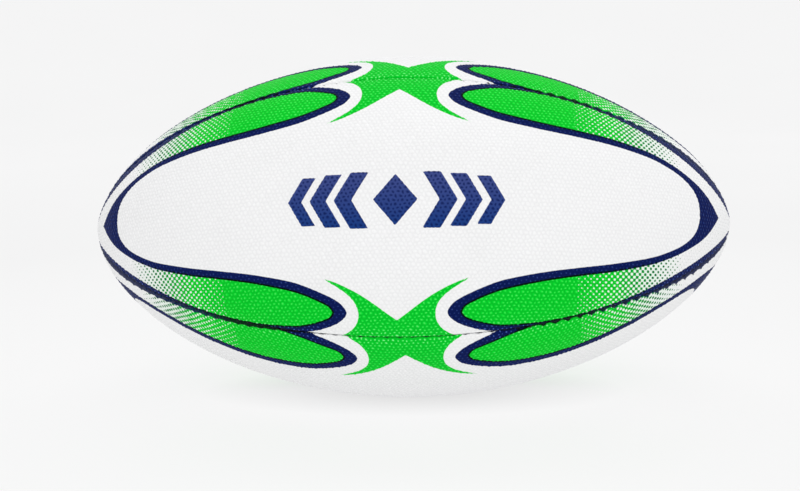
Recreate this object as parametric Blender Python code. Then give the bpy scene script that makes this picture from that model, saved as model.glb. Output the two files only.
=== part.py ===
"""A stitched four-panel rugby ball, lying on its side, with its bladder and valve inside.

Metres, +Z up. The long axis runs along X and the origin is the ball's centre. Angles go round
the long axis from the front (-Y) over the top (+Z). A depth is how far a surface lies inside
the ball's outer surface.
"""

from math import asin, ceil, cos, hypot, pi, radians, sin, sqrt

import bmesh
import bpy
from mathutils import Matrix, Vector

# Outer shape
HALF_LENGTH = 0.130
HALF_GIRTH = 0.0692
TAPER = 1.96  # powers of the meridian curve; 2 and 2 would be an ellipse,
FULLNESS = 1.655  # and a lower fullness draws the ends in
TIP_RADIUS = 0.0025  # where the panels' points stop short of the axis

# Panels and seams
SIDES = ("front", "top", "back", "bottom")
PANEL_SPAN = 2 * pi / len(SIDES)
FRONT_TILT = radians(18)  # how far the front panel's middle is rolled above the horizontal
GAP = 0.0003  # clearance between neighbouring pieces
COVER = 0.0014
LINING = 0.0010
SHOULDER = 0.0022  # radius of the rolled edge beside a seam
FLANGE_DEPTH = 0.0046  # how far the turned-in edge reaches below the surface
SEAM_FULL_RADIUS = 0.012  # the seam shrinks where the ball is thinner than this
THREAD_RADIUS = 0.00035

# Bladder
BLADDER = 0.0006
BLADDER_UNDER_SEAM = 0.0056
SEAM_HOLLOW_WIDTH = 0.009  # reach of the bladder's furrow under each seam
BLADDER_UNDER_VALVE = 0.0045
VALVE_HOLLOW = (0.020, 0.034)  # full depth inside the first distance, none past the second

# Valve, along the radius through the middle of the top panel
HOLE_RADIUS = 0.0045
PATCH_RADIUS = 0.014
PATCH_DEPTH = 0.0035
PATCH = 0.0006
BODY_RADIUS = 0.0042
VALVE_LIP = 0.0004  # bevel round the rims of the body and the core
BODY_SINK = 0.0005  # the valve's mouth lies this far below the cover's surface
BODY_LENGTH = 0.0150
BODY_FLANGE_RADIUS = 0.0100
BODY_FLANGE = 0.0010
BODY_FLANGE_DEPTH = 0.0054
BODY_FLANGE_SLOPE = 0.12  # the flange slopes away like the bladder's inside
SEAT_RADIUS = 0.0034
SEAT_DEPTH = 0.0030
BORE_RADIUS = 0.0026
CORE_SINK = 0.0009
CORE_LENGTH = 0.0120
CORE_HEAD = 0.0018
NEEDLE_RADIUS = 0.0012
NEEDLE_DEPTH = 0.0008

# Fineness of the faceted solids
LENGTH_STEPS = 24
PANEL_STEPS = 8
SHOULDER_STEPS = 3
TURN_STEPS = 24
PATCH_STEP = 0.003  # width of the patch's rings

WHITE_RUBBER = (0.86, 0.87, 0.87)
CLOTH = (0.74, 0.70, 0.60)
DARK_THREAD = (0.045, 0.043, 0.045)
BLADDER_RUBBER = (0.035, 0.035, 0.038)
VALVE_RUBBER = (0.020, 0.020, 0.022)
CORE_RUBBER = (0.10, 0.10, 0.11)
PATCH_CLOTH = (0.56, 0.53, 0.46)


# ---------------------------------------------------------------- shape of the ball


def profile(s):
    """Girth at s, a share of the half length, as a share of the largest girth."""
    return (1 - abs(s) ** TAPER) ** (1 / FULLNESS)


def radius_at(s, depth=0.0):
    return (HALF_GIRTH - depth) * profile(s)


def stations():
    """The shares of the half length at which every shell has a ring, closer at the ends."""
    end = (1 - (TIP_RADIUS / HALF_GIRTH) ** FULLNESS) ** (1 / TAPER)
    widest = asin(end)
    return [sin(widest * (2 * i / LENGTH_STEPS - 1)) for i in range(LENGTH_STEPS + 1)]


def shell_point(s, depth, angle):
    r = radius_at(s, depth)
    return Vector(((HALF_LENGTH - depth) * s, -r * cos(angle), r * sin(angle)))


def centre_angle(side):
    return FRONT_TILT + SIDES.index(side) * PANEL_SPAN


def beside_seam(s, depth, offset):
    """Angle from a panel's middle to a point that lies offset from the seam's plane."""
    return PANEL_SPAN / 2 - asin(offset / radius_at(s, depth))


def seam_scale(s):
    return min(1.0, radius_at(s) / SEAM_FULL_RADIUS)


def inner_angles(s):
    """Angles of the points between a panel's two edges, the same for every layer."""
    edge = beside_seam(s, 0.0, GAP / 2 + SHOULDER * seam_scale(s))
    return [edge * (2 * j / PANEL_STEPS - 1) for j in range(1, PANEL_STEPS)]


# ---------------------------------------------------------------- meshes and materials


def material(name, colour, roughness):
    made = bpy.data.materials.new(name)
    made.use_nodes = True
    shader = made.node_tree.nodes["Principled BSDF"]
    shader.inputs["Base Color"].default_value = (*colour, 1.0)
    shader.inputs["Roughness"].default_value = roughness
    shader.inputs["Metallic"].default_value = 0.0
    return made


def add_object(name, data, colour, roughness):
    ob = bpy.data.objects.new(name, data)
    bpy.context.scene.collection.objects.link(ob)
    data.materials.append(material(name, colour, roughness))
    return ob


def solid(name, bm, colour, roughness, smooth_angle=35):
    """An object from a closed bmesh, with its faces pointing out."""
    bmesh.ops.recalc_face_normals(bm, faces=bm.faces)
    mesh = bpy.data.meshes.new(name)
    bm.to_mesh(mesh)
    bm.free()
    mesh.shade_smooth()
    mesh.set_sharp_from_angle(angle=radians(smooth_angle))
    return add_object(name, mesh, colour, roughness)


def add_loop(bm, points):
    return [bm.verts.new(p) for p in points]


def skin(bm, loops):
    """Quads between each closed loop of vertices and the next."""
    for near, far in zip(loops, loops[1:]):
        for i in range(len(near)):
            j = (i + 1) % len(near)
            bm.faces.new((near[i], near[j], far[j], far[i]))


def band(side, sections):
    """A shell along the ball. Each section is its station, its outer points and its inner
    points, as depths and angles, in order from one edge of the panel to the other."""
    bm = bmesh.new()
    middle = centre_angle(side)
    loops = []
    for s, outer, inner in sections:
        points = outer + inner[::-1]
        loops.append(add_loop(bm, [shell_point(s, depth, middle + a) for depth, a in points]))
    skin(bm, loops)
    outer_count = len(sections[0][1])
    for loop in (loops[0], loops[-1]):
        close_end(bm, loop[:outer_count], loop[outer_count:][::-1])
    return bm


def turned_in(row):
    """How many points at either end of a row lie on the turned-in edge, not on the surface."""
    return (len(row) - PANEL_STEPS - 1) // 2


def close_end(bm, outer, inner):
    """Close a band's end: one face over each turned edge, and quads between them."""
    corner = turned_in(outer)
    under_corner = turned_in(inner)
    top = outer[corner : len(outer) - corner]
    under = inner[under_corner : len(inner) - under_corner]
    for j in range(PANEL_STEPS):
        bm.faces.new((top[j], top[j + 1], under[j + 1], under[j]))
    if corner:
        bm.faces.new(outer[: corner + 1] + inner[: under_corner + 1][::-1])
        bm.faces.new(outer[-corner - 1 :][::-1] + inner[-under_corner - 1 :])


def mirrored(edge, between):
    """A row of points across a panel, from those at one edge and those between the edges."""
    return [(d, -a) for d, a in edge] + between + [(d, a) for d, a in edge[::-1]]


# ---------------------------------------------------------------- panels, linings, threads


def cover_section(s):
    """The cover across a panel: rolled shoulders with flanges turned in at both seams."""
    k = seam_scale(s)
    shoulder = SHOULDER * k
    foot = COVER + (FLANGE_DEPTH - COVER) * k
    back = GAP / 2 + COVER * k
    face = [(foot, GAP / 2)]
    for i in range(SHOULDER_STEPS + 1):
        turn = pi / 2 * i / SHOULDER_STEPS
        face.append((shoulder * (1 - sin(turn)), GAP / 2 + shoulder * (1 - cos(turn))))
    outer_edge = [(d, beside_seam(s, d, offset)) for d, offset in face]
    inner_edge = [(d, beside_seam(s, d, back)) for d in (foot, COVER)]
    outer = mirrored(outer_edge, [(0.0, a) for a in inner_angles(s)])
    inner = mirrored(inner_edge, [(COVER, a) for a in inner_angles(s)])
    return s, outer, inner


def lining_section(s):
    rows = []
    for depth in (COVER + GAP, COVER + GAP + LINING):
        edge = beside_seam(s, depth, GAP / 2 + COVER * seam_scale(s) + GAP)
        rows.append(mirrored([(depth, edge)], [(depth, a) for a in inner_angles(s)]))
    return s, rows[0], rows[1]


def build_panels():
    for side in SIDES:
        cover = band(side, [cover_section(s) for s in stations()])
        solid("panel_" + side, cover, WHITE_RUBBER, 0.42)
        lining = band(side, [lining_section(s) for s in stations()])
        solid("lining_" + side, lining, CLOTH, 0.85)


def thread_depth(s):
    """Depth at which a seam's thread lies clear between the two shoulders."""
    shoulder = SHOULDER * seam_scale(s)
    reach = shoulder + THREAD_RADIUS + GAP
    return shoulder - sqrt(reach**2 - (shoulder + GAP / 2) ** 2)


def build_thread(side, next_side):
    name = f"thread_{side}_{next_side}"
    angle = centre_angle(side) + PANEL_SPAN / 2
    curve = bpy.data.curves.new(name, "CURVE")
    curve.dimensions = "3D"
    curve.bevel_depth = THREAD_RADIUS
    curve.bevel_resolution = 2
    curve.use_fill_caps = True
    points = [shell_point(s, thread_depth(s), angle) for s in stations()]
    spline = curve.splines.new("POLY")
    spline.points.add(len(points) - 1)
    for place, point in zip(spline.points, points):
        place.co = (*point, 1.0)
    add_object(name, curve, DARK_THREAD, 0.7)


# ---------------------------------------------------------------- bladder


def bladder_depth(s, side, angle):
    """The bladder lies against the linings, and is hollowed under the seams and the valve."""
    depth = COVER + LINING + 2 * GAP
    r = radius_at(s)
    to_seam = r * sin(PANEL_SPAN / 2 - abs(angle))
    share = max(0.0, 1 - to_seam / SEAM_HOLLOW_WIDTH)
    hollow = share * (BLADDER_UNDER_SEAM - depth)
    if side == "top":
        near, far = VALVE_HOLLOW
        to_valve = hypot(HALF_LENGTH * s, r * angle)
        share = min(1.0, max(0.0, (far - to_valve) / (far - near)))
        hollow = max(hollow, share * (BLADDER_UNDER_VALVE - depth))
    return depth + hollow


def bladder_wall(bm, inside_by):
    """One wall of the bladder, as rings closed by a point at each end."""
    loops = []
    for s in stations():
        points = []
        for side in SIDES:
            for angle in [-PANEL_SPAN / 2] + inner_angles(s):
                depth = bladder_depth(s, side, angle) + inside_by
                points.append(shell_point(s, depth, centre_angle(side) + angle))
        loops.append(add_loop(bm, points))
    skin(bm, loops)
    for loop, end in ((loops[0], -1), (loops[-1], 1)):
        pole = bm.verts.new((end * (HALF_LENGTH - BLADDER_UNDER_SEAM - inside_by), 0, 0))
        for i in range(len(loop)):
            bm.faces.new((loop[i], loop[(i + 1) % len(loop)], pole))


def build_bladder():
    walls = []
    for inside_by in (0.0, BLADDER):
        bm = bmesh.new()
        bladder_wall(bm, inside_by)
        bmesh.ops.recalc_face_normals(bm, faces=bm.faces)
        if inside_by:
            bmesh.ops.reverse_faces(bm, faces=bm.faces)
        walls.append(bm)
    mesh = bpy.data.meshes.new("bladder")
    walls[1].to_mesh(mesh)
    walls[0].from_mesh(mesh)
    walls[0].to_mesh(mesh)
    for bm in walls:
        bm.free()
    mesh.shade_smooth()
    return add_object("bladder", mesh, BLADDER_RUBBER, 0.6)


# ---------------------------------------------------------------- valve


def valve_matrix():
    """Places a piece whose own +Z is the valve's axis, pointing out of the ball."""
    angle = centre_angle("top")
    out = Vector((0, -cos(angle), sin(angle)))
    along = Vector((1, 0, 0))
    return Matrix((along, out.cross(along), out)).transposed().to_4x4()


def turned(name, outline, colour, roughness):
    """A solid turned about the valve's axis from an outline of radii and depths."""
    bm = bmesh.new()
    verts = [bm.verts.new((r, 0, HALF_GIRTH - depth)) for r, depth in outline]
    for near, far in zip(verts, verts[1:]):
        bm.edges.new((near, far))
    if outline[0][0] > 0:
        bm.edges.new((verts[-1], verts[0]))
    bmesh.ops.spin(
        bm,
        geom=bm.verts[:] + bm.edges[:],
        cent=(0, 0, 0),
        axis=(0, 0, 1),
        angle=2 * pi,
        steps=TURN_STEPS,
        use_merge=True,
    )
    bmesh.ops.remove_doubles(bm, verts=bm.verts, dist=1e-6)
    ob = solid(name, bm, colour, roughness)
    ob.matrix_world = valve_matrix()
    return ob


def build_valve():
    slope = BODY_FLANGE_SLOPE
    lip = VALVE_LIP
    body = [
        (SEAT_RADIUS, BODY_SINK),
        (BODY_RADIUS - lip, BODY_SINK),
        (BODY_RADIUS, BODY_SINK + lip),
        (BODY_RADIUS, BODY_FLANGE_DEPTH + slope * BODY_RADIUS),
        (BODY_FLANGE_RADIUS, BODY_FLANGE_DEPTH + slope * BODY_FLANGE_RADIUS),
        (BODY_FLANGE_RADIUS, BODY_FLANGE_DEPTH + slope * BODY_FLANGE_RADIUS + BODY_FLANGE),
        (BODY_RADIUS, BODY_FLANGE_DEPTH + slope * BODY_FLANGE_RADIUS + 2 * BODY_FLANGE),
        (BODY_RADIUS, BODY_LENGTH),
        (BORE_RADIUS, BODY_LENGTH),
        (BORE_RADIUS, SEAT_DEPTH),
        (SEAT_RADIUS, SEAT_DEPTH),
    ]
    turned("valve_body", body, VALVE_RUBBER, 0.5)
    head = SEAT_RADIUS - GAP
    stem = BORE_RADIUS - GAP
    under_head = CORE_SINK + CORE_HEAD
    core = [
        (0, CORE_SINK + NEEDLE_DEPTH),
        (NEEDLE_RADIUS, CORE_SINK + NEEDLE_DEPTH),
        (NEEDLE_RADIUS, CORE_SINK),
        (head - lip, CORE_SINK),
        (head, CORE_SINK + lip),
        (head, under_head),
        (stem, under_head),
        (stem, CORE_LENGTH),
        (0, CORE_LENGTH),
    ]
    turned("valve_core", core, CORE_RUBBER, 0.55)


def patch_point(r, turn, depth):
    """A point of the patch in the valve's own frame, on the ball's curved inside."""
    x, y = r * cos(turn), r * sin(turn)
    girth = (HALF_GIRTH - depth) * profile(x / (HALF_LENGTH - depth))
    return Vector((x, y, sqrt(girth**2 - y**2)))


def build_patch():
    """The cloth ring that strengthens the linings' side of the valve hole."""
    hole = HOLE_RADIUS + GAP
    steps = ceil((PATCH_RADIUS - hole) / PATCH_STEP)
    radii = [hole + (PATCH_RADIUS - hole) * i / steps for i in range(steps + 1)]
    rim = [(r, PATCH_DEPTH) for r in radii] + [(r, PATCH_DEPTH + PATCH) for r in radii[::-1]]
    bm = bmesh.new()
    turns = [2 * pi * i / TURN_STEPS for i in range(TURN_STEPS)]
    loops = [add_loop(bm, [patch_point(r, t, depth) for r, depth in rim]) for t in turns]
    skin(bm, loops + loops[:1])
    ob = solid("valve_patch", bm, PATCH_CLOTH, 0.9)
    ob.matrix_world = valve_matrix()


def cut_valve_hole(targets):
    """A straight hole for the valve through the top panel, its lining and the bladder."""
    bm = bmesh.new()
    bmesh.ops.create_cone(
        bm,
        cap_ends=True,
        segments=TURN_STEPS,
        radius1=HOLE_RADIUS,
        radius2=HOLE_RADIUS,
        depth=HALF_GIRTH / 2,
        matrix=Matrix.Translation((0, 0, HALF_GIRTH)) @ Matrix.Rotation(pi / TURN_STEPS, 4, "Z"),
    )
    cutter = solid("valve_hole_cutter", bm, VALVE_RUBBER, 0.5)
    cutter.matrix_world = valve_matrix()
    cutter.hide_render = True
    cutter.display_type = "WIRE"
    for target in targets:
        cut = target.modifiers.new("valve_hole", "BOOLEAN")
        cut.operation = "DIFFERENCE"
        cut.solver = "EXACT"
        cut.object = cutter


# ---------------------------------------------------------------- the ball


def main():
    for ob in list(bpy.data.objects):
        bpy.data.objects.remove(ob, do_unlink=True)
    build_panels()
    for side, next_side in zip(SIDES, SIDES[1:] + SIDES[:1]):
        build_thread(side, next_side)
    bladder = build_bladder()
    build_patch()
    build_valve()
    cut_valve_hole([bpy.data.objects["panel_top"], bpy.data.objects["lining_top"], bladder])


main()
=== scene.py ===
"""The looks of the stitched rugby ball: pimpled, printed panels drawn together at sewn seams.

Metres, in the CAD model's frame: the long axis runs along X and the ball's centre is the
origin. A panel has its own flat coordinates: `along` runs lengthwise over the surface from the
middle of the ball, and `across` runs round the girth from the panel's centreline. The shaders
reckon in millimetres, so the attributes that they read end in _mm where they hold a length.
"""

import math

import bpy
import numpy as np
from mathutils import Matrix, Vector


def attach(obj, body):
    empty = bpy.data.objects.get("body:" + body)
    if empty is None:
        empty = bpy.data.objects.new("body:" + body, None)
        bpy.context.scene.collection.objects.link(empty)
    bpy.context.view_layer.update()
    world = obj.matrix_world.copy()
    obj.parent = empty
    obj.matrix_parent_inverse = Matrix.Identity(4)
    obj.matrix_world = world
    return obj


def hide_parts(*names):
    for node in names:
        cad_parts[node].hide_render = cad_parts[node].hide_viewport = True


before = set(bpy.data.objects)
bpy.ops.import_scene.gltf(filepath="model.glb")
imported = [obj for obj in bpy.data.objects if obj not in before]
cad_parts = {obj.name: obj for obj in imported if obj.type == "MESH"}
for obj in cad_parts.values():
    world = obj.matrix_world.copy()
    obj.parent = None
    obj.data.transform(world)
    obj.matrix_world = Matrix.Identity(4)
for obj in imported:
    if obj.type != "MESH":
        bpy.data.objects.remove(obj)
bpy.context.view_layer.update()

MM = 0.001

# The ball's shape, as the CAD model has it
HALF_LENGTH = 130.0 * MM
MIDDLE_RADIUS = 69.2 * MM
TAPER = 1.96
FULLNESS = 1.655
SIDES = ("front", "top", "back", "bottom")
FRONT_TILT = math.radians(18)  # how far up the front panel's middle is rolled
PANEL_SPAN = math.pi / 2
COVER = 1.4 * MM  # thickness of a panel
FLANGE_DEPTH = 4.6 * MM
HOLE_RADIUS = 4.5 * MM
PROFILE_STATIONS = 40001

# Pimples: a triangular lattice with its rows along the ball
PIMPLE_PITCH = 1.66 * MM
PIMPLE_HEIGHT = 0.26 * MM
PIMPLE_REACH = 0.46  # of the pitch
PIMPLE_ROW_GAP = PIMPLE_PITCH * math.sqrt(3) / 2
ROW_STEP = PIMPLE_PITCH / 4
POINT_STEP = PIMPLE_PITCH * math.sqrt(3) / 4
BARE_EDGE = 0.2 * MM  # no pimples nearer to the seam than this
BARE_FADE = 0.8 * MM  # and over this they rise to their full height
NARROW_GAIN = 1.5  # pimples are whole down to an edge scale of 1 / 1.5
# The lattice wanders in waves: their size in millimetres, radians per millimetre along and
# across, and phase
WOBBLES = ((0.13, 1.9, 1.1, 0.0), (0.11, -1.2, 2.3, 1.7), (0.16, 0.5, -0.7, 4.1))

# Seams
SEAM_GAP = 0.10 * MM  # from the seam's plane to either panel
ROLL = 0.95 * MM  # radius of the panel's rolled edge
ROLL_STEPS = 5
ROLL_CLEARANCE = 0.35  # of the point step, from the last pimpled point to the roll
FLANGE_TOP = 1.9 * MM
TIP_RADIUS = 0.45 * MM
TIP_DEPTH = 0.5 * MM  # of the point that closes a panel's end
EDGE_FULL_WIDTH = 5.0 * MM  # half panels narrower than this have smaller edges
STITCH_PITCH = 4.8 * MM
BULGE_POWER = 0.7  # below 1, the edge bulges broadly and nips in sharply at a stitch
BULGE_LEVEL = 0.6  # the bulge at which the edge is where a straight seam would be
SCALLOP = 0.60 * MM  # how far the edges swing to and fro round the ball
PUCKER = 0.38 * MM  # how deep a stitch draws the edges in
POCKET = 0.34 * MM  # how far a stitch draws either edge back
SLACK_SHARES = (0.15, 0.45)  # stitches are tight inside the first share, slack past the second
TIGHT = 0.35
PUCKER_REACH = 2.6 * MM
VALLEY = 0.22 * MM  # how deep a seam lies under the smooth ball
VALLEY_REACH = 4.5 * MM
COARSE_EVERY = 6  # rows outside for each row inside
INNER_COLUMNS = 12

# Threads
THREAD_RADIUS = 0.24 * MM
THREAD_LEAST = 0.35  # share of its radius that a thread keeps at the tips
THREAD_DEPTH = 0.95 * MM
THREAD_RISE = 0.30 * MM
THREAD_STEP = 0.45 * MM
THREAD_SIDES = 8

# The valve hole: its lip and wall, as millimetres outside the hole's radius and deep
HOLE_OUTLINE = ((0.55, -0.02), (0.30, -0.05), (0.10, 0.04), (0.0, 0.25), (0.0, 0.8), (0.0, 1.4))
HOLE_POINTS = 64
OUTER_CUT = 0.75 * MM  # how far outside the hole the pimpled surface is cut away
INNER_CUT = 1 * MM  # the same inside, for any point of a face
INNER_CUT_MEAN = 4 * MM  # and for the mean over its points


# ---------------------------------------------------------------- the ball's surface


def profile(s):
    """The ball's radius, as a share of its largest, at a share of the half length."""
    return (1 - np.abs(s) ** TAPER) ** (1 / FULLNESS)


def meridian_table():
    """Shares of the half length, closely spaced, and the surface distance of each."""
    s = np.sin(np.linspace(-math.pi / 2, math.pi / 2, PROFILE_STATIONS))
    steps = np.hypot(np.diff(HALF_LENGTH * s), np.diff(MIDDLE_RADIUS * profile(s)))
    along = np.concatenate(([0.0], np.cumsum(steps)))
    return s, along - along[-1] / 2


SHARES, ALONG = meridian_table()


def share_at(along):
    return np.interp(along, ALONG, SHARES)


def along_at(share):
    return np.interp(share, SHARES, ALONG)


def radius_at(along):
    return MIDDLE_RADIUS * profile(share_at(along))


def shell(along, depth, angle):
    """Points of the ball at an angle round it, at a depth under the smooth outer surface."""
    s = share_at(along)
    r = (MIDDLE_RADIUS - depth) * profile(s)
    return np.stack(((HALF_LENGTH - depth) * s, -r * np.cos(angle), r * np.sin(angle)), axis=-1)


def centre_angle(side):
    return FRONT_TILT + SIDES.index(side) * PANEL_SPAN


def tip_share():
    """The share of the half length at which the ball is as thin as a tip."""
    return (1 - (TIP_RADIUS / MIDDLE_RADIUS) ** FULLNESS) ** (1 / TAPER)


# ---------------------------------------------------------------- relief of a panel


def wander(along, across, turn, sine):
    """How far the lattice is off its place, in millimetres; works on numbers and on shaders."""
    total = 0.0
    for size, per_along, per_across, phase in WOBBLES:
        total = sine(along * per_along + across * per_across + (phase + turn)) * size + total
    return total


def pimples(along, across):
    """Height of the pimples, from 0 to 1, at a place on the lattice."""
    drift = wander(along / MM, across / MM, 0.0, np.sin) * MM
    sway = wander(along / MM, across / MM, 2.0, np.sin) * MM
    along = along + drift
    across = across + sway
    best = np.full(np.shape(along), np.inf)
    for odd in (0, 1):
        shifted = along / PIMPLE_PITCH - odd / 2
        du = (shifted - np.round(shifted)) * PIMPLE_PITCH
        rows = (across / PIMPLE_ROW_GAP - odd) / 2
        dv = (rows - np.round(rows)) * 2 * PIMPLE_ROW_GAP
        best = np.minimum(best, np.hypot(du, dv))
    reach = PIMPLE_REACH * PIMPLE_PITCH
    return np.cos(math.pi / 2 * np.clip(best / reach, 0, 1)) ** 2


def edge_scale(half_width):
    """One over most of the ball, less where the panel is narrow, near its tips."""
    return np.minimum(1.0, half_width / EDGE_FULL_WIDTH)


def stitch_bulge(along):
    """Zero at each stitch, one halfway to the next."""
    return np.abs(np.sin(math.pi * along / STITCH_PITCH)) ** BULGE_POWER


def slackness(along):
    """How much the sewing gives: little in the middle of the ball, most towards its ends."""
    near, far = SLACK_SHARES
    share = np.clip((np.abs(share_at(along)) - near) / (far - near), 0, 1)
    return TIGHT + (1 - TIGHT) * share


def seam_shift(along, to_edge, scale):
    """How far a point near a seam is pushed round the ball by the panel's bulging edge."""
    wave = SCALLOP * slackness(along) * (stitch_bulge(along) - BULGE_LEVEL)
    return scale * wave * np.exp(-((to_edge / PUCKER_REACH) ** 2))


def seam_gap(along):
    """Distance from the seam's plane to either panel, widest in the pocket at a stitch."""
    return SEAM_GAP + POCKET * slackness(along) * (1 - stitch_bulge(along)) ** 2


def relief(along, across, to_edge, scale):
    """Height of the panel's surface over the smooth ball."""
    fade = np.clip((to_edge - BARE_EDGE) / BARE_FADE, 0, 1)
    height = PIMPLE_HEIGHT * pimples(along, across) * fade * np.clip(scale * NARROW_GAIN, 0, 1)
    pull = slackness(along) * (1 - stitch_bulge(along)) * np.exp(-((to_edge / PUCKER_REACH) ** 2))
    valley = np.exp(-((to_edge / VALLEY_REACH) ** 2))
    return height - scale * (PUCKER * pull + VALLEY * valley)


# ---------------------------------------------------------------- mesh building


class Builder:
    """Collects a panel's points, with their places on the panel."""

    def __init__(self):
        self.points = []
        self.places = []
        self.count = 0

    def add(self, along, across, depth, angle):
        """Add points and return their numbers."""
        along, across, depth, angle = np.broadcast_arrays(along, across, depth, angle)
        self.points.append(shell(along, depth, angle))
        self.places.append(np.stack((along, across), axis=-1))
        first = self.count
        self.count += len(along)
        return np.arange(first, self.count)

    def place(self, index):
        return np.concatenate(self.places)[index]


def zip_lines(a, key_a, b, key_b, flip=False):
    """Triangles that join two rows of points, each sorted by its key."""
    mid_a = (key_a[1:] + key_a[:-1]) / 2
    mid_b = (key_b[1:] + key_b[:-1]) / 2
    apex_b = b[np.searchsorted(mid_b, mid_a, side="left")]
    apex_a = a[np.searchsorted(mid_a, mid_b, side="right")]
    from_a = np.stack((a[:-1], apex_b, a[1:]), axis=-1)
    from_b = np.stack((apex_a, b[:-1], b[1:]), axis=-1)
    made = np.concatenate((from_a, from_b))
    return made[:, ::-1] if flip else made


def roll_profile(gap, scale):
    """Distance from the seam's plane and depth of a rolled edge, from the flange outwards."""
    turns = np.linspace(math.pi / 2, 0, ROLL_STEPS + 1)
    offset = gap + ROLL * (1 - np.sin(turns))
    depth = ROLL * (1 - np.cos(turns))
    offset = np.concatenate(([SEAM_GAP], offset)) * scale
    depth = np.concatenate(([FLANGE_TOP], depth)) * scale
    return offset, depth


def edge_points(along, half_width, end):
    """Across, depth and angle of a row's rolled edge, at its lower (-1) or upper (1) end."""
    scale = edge_scale(half_width)
    offset, depth = roll_profile(seam_gap(along), scale)
    shift = seam_shift(along, offset, scale)
    across = end * (half_width - offset) + shift
    height = relief(along, across, offset, scale)
    depth = depth - height
    radius = (MIDDLE_RADIUS - depth) * profile(share_at(along))
    angle = end * (PANEL_SPAN / 2 - np.arcsin((offset - end * shift) / radius))
    return across, depth, angle


def fine_row(build, along, row, middle):
    """One row of points across the panel's outside, flange to flange. Returns points and keys."""
    radius = radius_at(along)
    half_width = radius * PANEL_SPAN / 2
    scale = edge_scale(half_width)
    odd = row % 2 * POINT_STEP / 2
    limit = half_width - (seam_gap(along) + ROLL) * scale - ROLL_CLEARANCE * POINT_STEP
    most = math.floor((limit - odd) / POINT_STEP)
    least = -math.floor((limit + odd) / POINT_STEP)
    across = odd + POINT_STEP * np.arange(least, most + 1)
    to_edge = half_width - np.abs(across)
    height = relief(along, across, to_edge, scale)
    moved = across + seam_shift(along, to_edge, scale)
    low = edge_points(along, half_width, -1)
    high = [part[::-1] for part in edge_points(along, half_width, 1)]
    inside = (across, -height, moved / radius)
    across, depth, angle = (np.concatenate(parts) for parts in zip(low, inside, high))
    index = build.add(along, across, depth, middle + angle)
    # Round the rolled edges the angle need not grow from point to point, so keys are counted on
    key = angle.copy()
    steps = np.arange(len(low[0]) - 1, 0, -1)
    key[: len(steps)] = angle[len(steps)] - steps
    key[-len(steps) :] = angle[-len(steps) - 1] + steps[::-1]
    return index, key


def coarse_row(build, along, middle):
    """One row across the panel's inside, from the upper flange's foot to the lower one's."""
    radius = radius_at(along)
    half_width = radius * PANEL_SPAN / 2
    scale = edge_scale(half_width)
    foot = COVER + (FLANGE_DEPTH - COVER) * scale
    back = SEAM_GAP + COVER * scale
    offset = np.array([SEAM_GAP * scale, back, back])
    depth = np.array([foot, foot, COVER])
    turned = PANEL_SPAN / 2 - np.arcsin(offset / ((MIDDLE_RADIUS - depth) * radius / MIDDLE_RADIUS))
    between = np.linspace(turned[-1], -turned[-1], INNER_COLUMNS + 1)[1:-1]
    angle = np.concatenate((turned, between, -turned[::-1]))
    depths = np.concatenate((depth, np.full(len(between), COVER), depth[::-1]))
    return build.add(along, angle * radius, depths, middle + angle)


def grid_quads(rows):
    """Quads between rows of equally many points."""
    made = []
    for near, far in zip(rows, rows[1:]):
        made.append(np.stack((near[:-1], far[:-1], far[1:], near[1:]), axis=-1))
    return np.concatenate(made)


def cap(build, loop, end, middle):
    """A fan that closes the panel's point."""
    along = end * ALONG[-1]
    hub = build.add(np.array([along]), 0.0, TIP_DEPTH, middle)[0]
    around = loop if end < 0 else loop[::-1]
    return np.array([(a, b, hub) for a, b in zip(around, np.roll(around, -1))])


def rim_of(faces, removed):
    """The points around a patch of removed faces, anticlockwise as seen from outside."""
    onward = {}
    for face in faces[removed].tolist():
        for here, there in zip(face, face[1:] + face[:1]):
            onward[here, there] = True
    following = {here: there for here, there in onward if (there, here) not in onward}
    loop = [next(iter(following))]
    while following[loop[-1]] != loop[0]:
        loop.append(following[loop[-1]])
    return np.array(loop)


def turning_keys(build, loop):
    """The loop from its lowest turn round the valve on, closed, with the turn of each point."""
    along, across = build.place(loop).T
    turn = np.arctan2(across, along)
    start = int(np.argmin(turn))
    loop = np.roll(loop, -start)
    turn = np.maximum.accumulate(np.unwrap(np.roll(turn, -start)))
    return np.append(loop, loop[0]), np.append(turn, turn[0] + 2 * math.pi)


def valve_rings(build, middle):
    """Rings of points from the lip of the valve hole down its wall."""
    turn = (np.arange(HOLE_POINTS) + 0.5) / HOLE_POINTS * 2 * math.pi - math.pi
    rings = []
    for out, depth in HOLE_OUTLINE:
        radius = HOLE_RADIUS + out * MM
        along = radius * np.cos(turn)
        across = radius * np.sin(turn)
        rings.append(build.add(along, across, depth * MM, middle + across / MIDDLE_RADIUS))
    return rings


def open_valve_hole(build, outer, inner, middle):
    """Cut the hole through both surfaces and line it. Returns all the panel's faces."""
    along, across = np.concatenate(build.places).T
    from_valve = np.hypot(along, across)
    cut_outer = (from_valve[outer] < HOLE_RADIUS + OUTER_CUT).any(axis=1)
    mean_cut = from_valve[inner].mean(axis=1) < HOLE_RADIUS + INNER_CUT_MEAN
    cut_inner = mean_cut | (from_valve[inner] < HOLE_RADIUS + INNER_CUT).any(axis=1)
    rings = [rim_of(outer, cut_outer)] + valve_rings(build, middle)
    rings.append(rim_of(inner, cut_inner)[::-1])
    keyed = [turning_keys(build, ring) for ring in rings]
    joins = [zip_lines(*a, *b, flip=True) for a, b in zip(keyed, keyed[1:])]
    return [outer[~cut_outer], inner[~cut_inner]] + joins


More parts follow.
